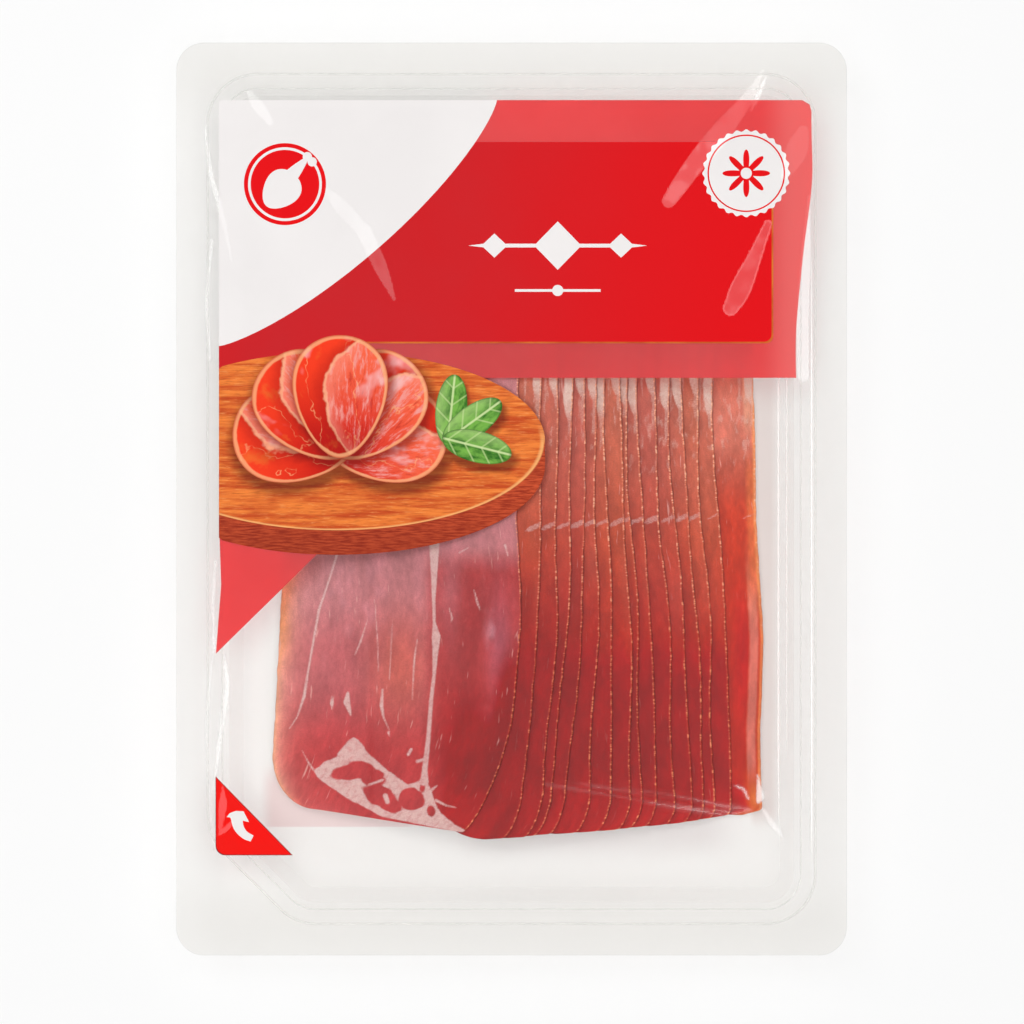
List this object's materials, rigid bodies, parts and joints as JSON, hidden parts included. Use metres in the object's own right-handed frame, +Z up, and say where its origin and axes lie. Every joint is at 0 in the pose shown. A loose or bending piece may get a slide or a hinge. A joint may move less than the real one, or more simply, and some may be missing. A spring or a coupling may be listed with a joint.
{
  "type": "sliced ham pack",
  "caption": "Flat clear tray with rounded rim, sealed with a clear printed film, holding a fan of thin dry-cured ham slices.",
  "frame": {"origin": "centre of the bounding box, on the flat underside of the tray's floor", "axes": "+Z up out of the film side, +Y along the pack towards the printed end, +X across it towards the lowest slice"},
  "size_m": [0.18, 0.245, 0.0127],
  "materials": {
    "tray": "clear formed sheet, glossy",
    "film": "clear flexible film, glossy, slightly wrinkled",
    "ham": "moist lean ham with pale fat and orange-red cut edges",
    "white_print": "opaque white ink under the film's gloss",
    "red_print": "slightly see-through red ink under the film's gloss",
    "deep_red_print": "opaque deep red ink under the film's gloss",
    "board_print": "printed wood tones under the film's gloss",
    "ham_print": "printed ham tones under the film's gloss",
    "leaf_print": "printed leaf greens under the film's gloss"
  },
  "bodies": {
    "root": {"tray": "tray", "slice_01": "ham", "slice_02": "ham", "slice_03": "ham", "slice_04": "ham", "slice_05": "ham", "slice_06": "ham", "slice_07": "ham", "slice_08": "ham", "slice_09": "ham", "slice_10": "ham", "slice_11": "ham", "slice_12": "ham", "slice_13": "ham", "slice_14": "ham", "slice_15": "ham", "slice_16": "ham", "lid_film": "film", "print_white_corner": "white_print", "print_badge": "white_print", "print_ornament": "white_print", "print_red_field": "red_print", "print_low_red": "red_print", "print_red_panel": "deep_red_print", "print_emblem": "deep_red_print", "print_peel_sign": "deep_red_print", "picture_board": "board_print", "picture_ham": "ham_print", "picture_leaves": "leaf_print"}
  },
  "joints": []
}
